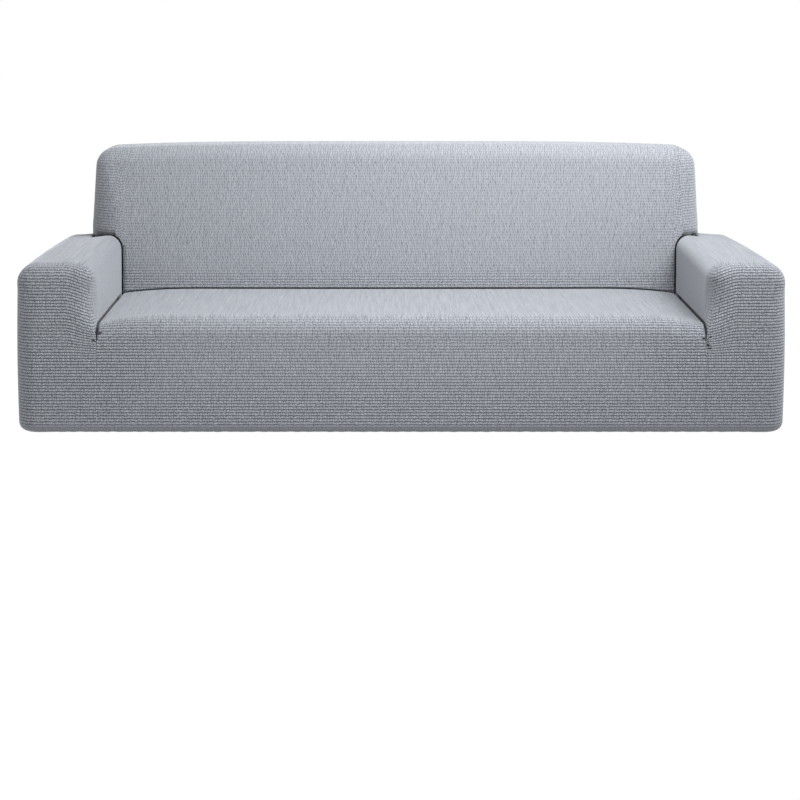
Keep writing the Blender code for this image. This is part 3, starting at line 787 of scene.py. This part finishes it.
for name, side in (("arm_cover_left", -1), ("arm_cover_right", 1)):
    seam = BACK_HALF + side * BACK_OFFSET
    arm_lines = (
        ruler(ARM_INNER, ROUND_STEP, ARM_INNER + INNER_BAND, FACE_STEP,
              seam - SEAM_BAND, SEAM_STEP, seam, SEAM_STEP, seam + SEAM_BAND, FACE_STEP,
              HALF_WIDTH - CORNER_R, ROUND_STEP, HALF_WIDTH),
        ruler(0.0, CORNER_STEP, CORNER_R, FACE_STEP, CORNER_MAP_END, LONG_STEP,
              BACK_FRONT - SEAM_BAND, SEAM_STEP, BACK_FRONT, SEAM_STEP, BACK_FRONT + SEAM_BAND, FACE_STEP,
              DEPTH - CORNER_R, ROUND_STEP, DEPTH),
        ruler(HEM_R, LONG_STEP, NOTCH_Z, NOTCH_STEP, NOTCH_BAND[0], CREASE_STEP, NOTCH_BAND[1], FACE_STEP,
              ARM_TOP - ARM_OUTER_R, ROUND_STEP, ARM_TOP),
    )
    points, numbers, cells = lattice(arm_lines, {
        "front": lambda u, y, z: True,
        "high": lambda u, y, z: True,
        "low": lambda u, y, z: (z > NOTCH_Z) & (y < BACK_FRONT) & (y > CORNER_MAP_END),
        "inner_corner": lambda u, y, z: (z > NOTCH_Z) & (y < CORNER_MAP_END),
        "top": lambda u, y, z: (u > seam) | (y < BACK_FRONT),
        "rear": lambda u, y, z: u > seam,
    })

    # the seams and creases that hold it, before it leans, droops and settles on the arm
    u, y, z = points.T.copy()
    front_seam = (u < ARM_INNER + NEAR) & (y < NEAR) & (z < NOTCH_Z + NEAR)
    crease = (y > BACK_FRONT - NEAR) & (y < DEPTH - BACK_EDGE_R) & (z > NOTCH_Z - NEAR) & (u < seam + NEAR)
    rear_seam = (y >= DEPTH - BACK_EDGE_R) & (np.abs(u - seam) < NEAR)
    lower = (u < ARM_INNER + NEAR) & (np.abs(z - NOTCH_Z) < NEAR) & (y > NEAR)
    hem = z < HEM_R + NEAR
    points[:, 0] += (half_width(z) - HALF_WIDTH) * np.clip((u - seam) / (HALF_WIDTH - seam), 0, 1)
    points[:, 2] += (arm_top(u, y) - ARM_TOP) * ramp(z, NOTCH_Z, ARM_TOP)
    lean = back_front(side * u, points[:, 2]) - CREASE - BACK_FRONT
    lean *= ramp(y, LEAN_START, BACK_FRONT) * (1 - ramp(y, BACK_FRONT, LEAN_END))
    lean *= 1 - ramp(u, seam, seam + LEAN_EDGE)
    points[:, 1] += lean
    points[:, 0] *= side

    def body(p):
        return arm_body(p, side)

    points = settle(points, body, (
        (front_seam, lambda p: side * p[:, 0] - ARM_INNER),
        (crease, lambda p: back_body(p) - CREASE),
        (rear_seam, lambda p: side * p[:, 0] - seam - SEAM),
        (lower, lambda p: p[:, 2] - NOTCH_Z),
        (hem, lambda p: p[:, 2] - HEM_R),
    ))

    # where the seat's cloth is tucked in beside it, the inner side draws back
    under = 1 - ramp(seat_profile(points), 0.0, UNDERCUT_WIDTH)
    under *= ramp(points[:, 1], *UNDER_START) * (side * points[:, 0] < ARM_INNER + UNDER_REACH)
    under *= 1 - ramp(points[:, 1], BACK_FRONT - UNDER_END[0], BACK_FRONT - UNDER_END[1])
    under *= ramp(points[:, 2], NOTCH_Z, NOTCH_Z + GROOVE_FADE)
    points[:, 0] += side * UNDERCUT * under

    # its map goes on round every edge, so rows run from the front on to both sides
    sheets = {face: points[numbers[face]] for face in numbers}
    front_u = walk(sheets["front"], 0, np.full(len(arm_lines[2]), ARM_INNER))
    front_v = walk(sheets["front"], 1, np.zeros(len(arm_lines[0])))
    outer_u = walk(sheets["high"], 0, front_u[-1])
    top_v = walk(sheets["top"], 1, front_v[:, -1])
    edge_u = np.full(len(arm_lines[1]), ARM_INNER)
    inner_u = 2 * ARM_INNER - walk(sheets["low"], 0, edge_u, backwards=True)
    corner_u = 2 * front_u[0][:, None] - walk(sheets["low"], 1, front_u[0])
    maps = {
        "front": (front_u, front_v),
        "inner_corner": (corner_u, np.broadcast_to(front_v[0][:, None], corner_u.shape)),
        "top": (walk(sheets["top"], 0, edge_u), top_v),
        "high": (outer_u, np.broadcast_to(front_v[-1][None, :], outer_u.shape)),
        "low": (inner_u, np.broadcast_to(top_v[0][None, :], inner_u.shape)),
    }
    rear_u = walk(sheets["rear"], 1, outer_u[-1], backwards=True)
    maps["rear"] = (rear_u, np.broadcast_to(front_v[-1][:, None], rear_u.shape))
    for face in ("front", "inner_corner", "top"):
        near_seat = 1 - ramp(side * sheets[face][..., 0], ARM_INNER, ARM_INNER + DRAG_WIDTH)
        drag = DRAG * near_seat * ramp(sheets[face][..., 2], NOTCH_Z - DRAG_FADE, NOTCH_Z + DRAG_FADE)
        maps[face] = (maps[face][0], maps[face][1] + drag)
    # the undercut is painted in shade as well as drawn back
    arm, verts = cut(points, numbers, cells, maps, under, side)
    tuck(arm, border_of(arm, verts, crease), body,
         lambda x, y, z: 1 - float(ramp(y, DEPTH - LIP_END[0], DEPTH - LIP_END[1])), behind=back_body)
    turn_hem(arm)
    finish(arm, name, arm_padding)


# ---- Back cover: inside back, top, both ends and outside back, in one piece ---------------
# It is drawn over the backrest like a hood. In front it goes down behind the seat and the
# arms, where it ends in short tails; behind it runs down to the hem between the arm covers.
TAIL = 0.02
TAIL_SLACK = 0.005  # the tails over the arms reach this much deeper
ARM_BAND = (0.836, 0.886)  # where its creases run, it is drawn with fine rows and columns
SEAT_CREASE_BAND = (0.292, 0.322)
ARM_TOP_BAND = (0.420, 0.474)
FINE_STEP = 0.002
BACK_STEP = 0.0126
TOP_CROWN_FROM = 0.60
REAR_FADE = (0.14, 0.08)  # in front of the rear, where the undercut over the arms ends
BACK_FULL = 0.95  # padding at the ends and on the outside back
MIDDLE_THIN = 0.25  # what the middle of the inside back and the top lose of it
MIDDLE_RISE = 0.08
MIDDLE_DEPTH = 0.1
END_FILL = 0.20
END_WIDTH = 0.25


def back_padding(x, y, z):
    """Thinner over the middle of the inside back and the top, fuller towards both ends."""
    middle = ramp(z, SEAT_TOP, SEAT_TOP + MIDDLE_RISE) * ramp(DEPTH - y, 0, MIDDLE_DEPTH)
    ends = ramp(abs(x - BACK_OFFSET), BACK_HALF - END_WIDTH, BACK_HALF)
    return min(BACK_FULL, BACK_FULL - MIDDLE_THIN * middle + END_FILL * ends)


foot = SEAT_TOP - SEAT_SLOPE * BACK_FRONT - TAIL
arm_low = arm_top(HALF_WIDTH, BACK_FRONT) - TAIL - TAIL_SLACK
tail = ARM_INNER + TAIL
left_end, right_end = BACK_OFFSET - BACK_HALF, BACK_OFFSET + BACK_HALF
back_lines = (
    ruler(left_end, CORNER_STEP, -ARM_BAND[1], FINE_STEP, -ARM_BAND[0], BACK_STEP,
          ARM_BAND[0], FINE_STEP, ARM_BAND[1], CORNER_STEP, right_end),
    ruler(BACK_FRONT, ROUND_STEP, BACK_FRONT + BACK_EDGE_R, FACE_STEP,
          DEPTH - BACK_EDGE_R, ROUND_STEP, DEPTH),
    ruler(HEM_R, LONG_STEP, SEAT_CREASE_BAND[0], CREASE_STEP, SEAT_CREASE_BAND[1], LONG_STEP,
          ARM_TOP_BAND[0], FINE_STEP, ARM_TOP_BAND[1], LONG_STEP,
          BACK_TOP - BACK_CORNER_R, ROUND_STEP, BACK_TOP),
)


def end_kept(x, y, z):
    """The ends reach down to the arms' tops, and behind them to the rear notch."""
    return (z > arm_low) | ((z > REAR_NOTCH_Z) & (y > DEPTH - BACK_EDGE_R))


points, numbers, cells = lattice(back_lines, {
    "front": lambda x, y, z: (z > arm_low) | ((z > foot) & (np.abs(x) < tail)),
    "low": end_kept,
    "high": end_kept,
    "top": lambda x, y, z: True,
    "rear": lambda x, y, z: True,
})

# the edges that hold it, before it leans, narrows and settles on the backrest
x, y, z = points.T.copy()
out = np.abs(x - BACK_OFFSET)
rear_seam = (y > DEPTH - NEAR) & (z < REAR_NOTCH_Z + NEAR) & (out > BACK_HALF - NEAR)
tails = (y < BACK_FRONT + NEAR) & (z < arm_low - NEAR) & (np.abs(np.abs(x) - tail) < NEAR)
feet = (y < BACK_FRONT + NEAR) & (np.abs(z - foot) < NEAR)
shelf = (np.abs(z - arm_low) < NEAR) & (y < DEPTH - BACK_EDGE_R)
hem = z < HEM_R + NEAR
reach = BACK_HALF - BACK_TAPER * np.maximum(z - BACK_TAPER_FROM, 0)
points[:, 0] = BACK_OFFSET + (x - BACK_OFFSET) * reach / BACK_HALF
points[:, 1] += (back_front(x, z) - BACK_FRONT) * (DEPTH - y) / (DEPTH - BACK_FRONT)
points[:, 2] -= BACK_TOP_CROWN * (out / BACK_HALF) ** 4 * ramp(z, TOP_CROWN_FROM, BACK_TOP)
points = settle(points, back_body, (
    (rear_seam, lambda p: np.abs(p[:, 0] - BACK_OFFSET) - BACK_HALF),
    (tails, lambda p: np.abs(p[:, 0]) - tail),
    (feet, lambda p: p[:, 2] - foot),
    (shelf, lambda p: p[:, 2] - arm_low),
    (hem, lambda p: p[:, 2] - HEM_R),
))

# over the seat and the arms it draws back into the creases
beside_back = np.minimum(arm_section(points, 1), arm_section(points, -1))
under = 1 - ramp(np.minimum(seat_profile(points), beside_back), 0.0, UNDERCUT_WIDTH)
under *= 1 - ramp(points[:, 1], DEPTH - REAR_FADE[0], DEPTH - REAR_FADE[1])
points -= (UNDERCUT * under)[:, None] * slope(back_body, points)

# its map goes up the inside back, over the top and down behind, and round both ends
sheets = {face: points[numbers[face]] for face in numbers}
front_u = centred(sheets["front"], 0)
front_v = walk(sheets["front"], 1, np.zeros(len(back_lines[0])))
top_v = walk(sheets["top"], 1, front_v[:, -1])
low_u = 2 * front_u[0][:, None] - walk(sheets["low"], 1, front_u[0])
high_u = walk(sheets["high"], 0, front_u[-1])
maps = {
    "front": (front_u, front_v),
    "top": (centred(sheets["top"], 0), top_v),
    "rear": (centred(sheets["rear"], 1), walk(sheets["rear"], 0, top_v[:, -1], backwards=True)),
    "low": (low_u, np.broadcast_to(front_v[0][:, None], low_u.shape)),
    "high": (high_u, np.broadcast_to(front_v[-1][None, :], high_u.shape)),
}
# the undercut is painted in shade as well as drawn back
back, _ = cut(points, numbers, cells, maps, under)
turn_hem(back)
finish(back, "back_cover", back_padding)
